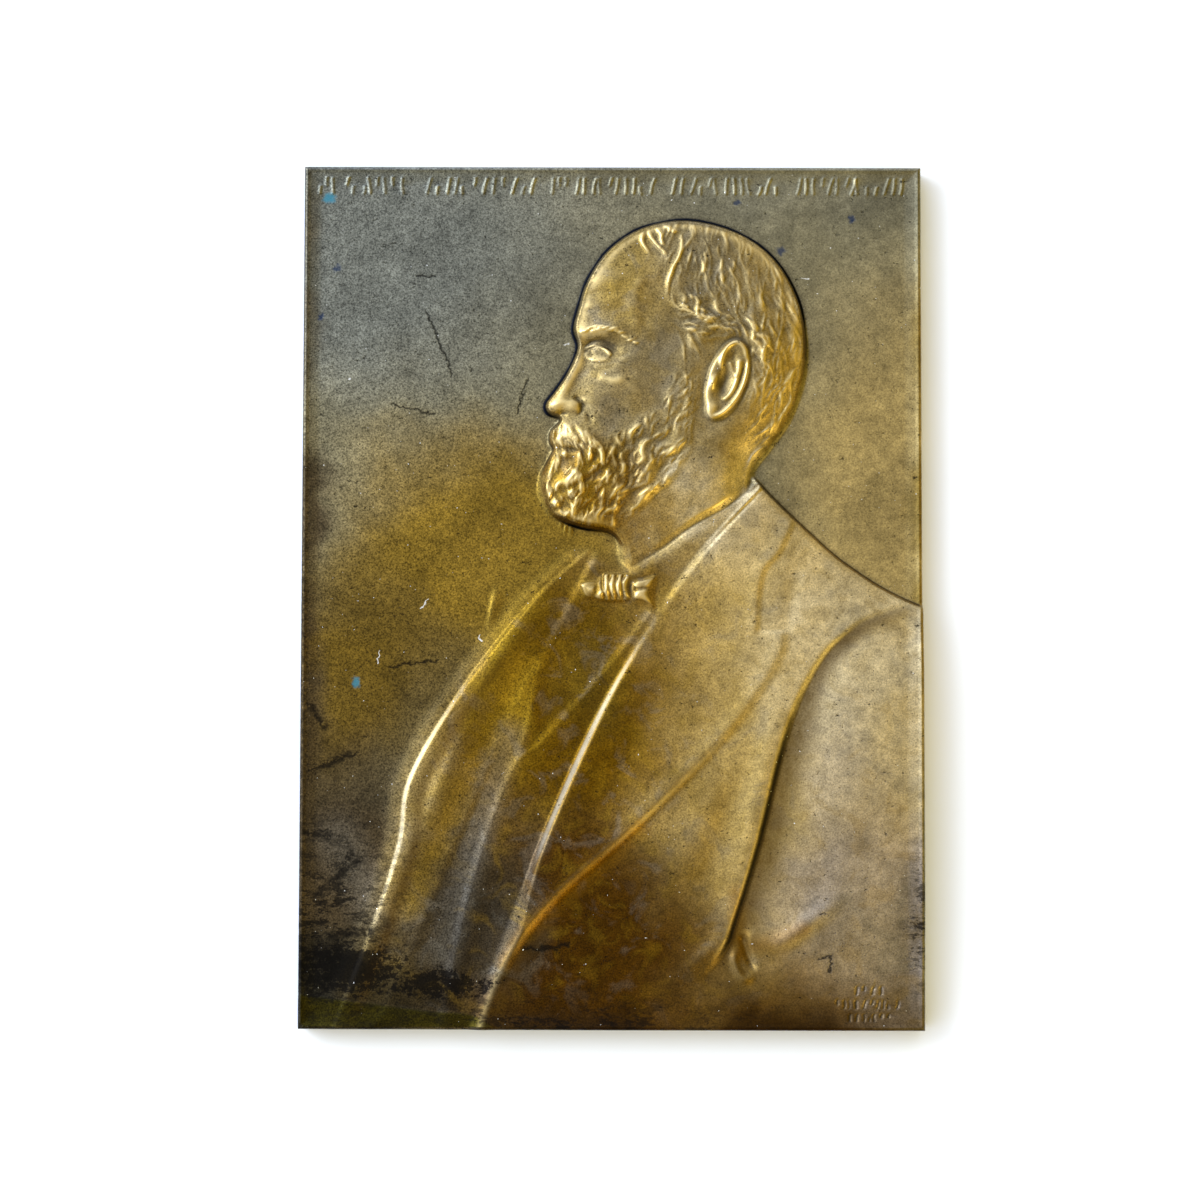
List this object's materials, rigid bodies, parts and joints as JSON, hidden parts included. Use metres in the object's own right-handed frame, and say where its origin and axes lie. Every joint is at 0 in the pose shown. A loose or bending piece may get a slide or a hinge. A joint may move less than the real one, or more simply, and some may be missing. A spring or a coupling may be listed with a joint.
{
  "type": "bronze portrait plaque",
  "caption": "Small oblong cast bronze plaque with a low-relief bust facing left; lies flat on its plain back.",
  "frame": {"origin": "middle of the flat back, on the surface that the plaque lies on", "axes": "+Z out of the face, +Y to the top of the picture, +X to the picture's right"},
  "size_m": [0.064, 0.089, 0.0055],
  "materials": {
    "bronze": "brown patinated bronze, polished lighter on the high places and darker in the hollows"
  },
  "bodies": {
    "root": {"plaque": "bronze"}
  },
  "joints": []
}
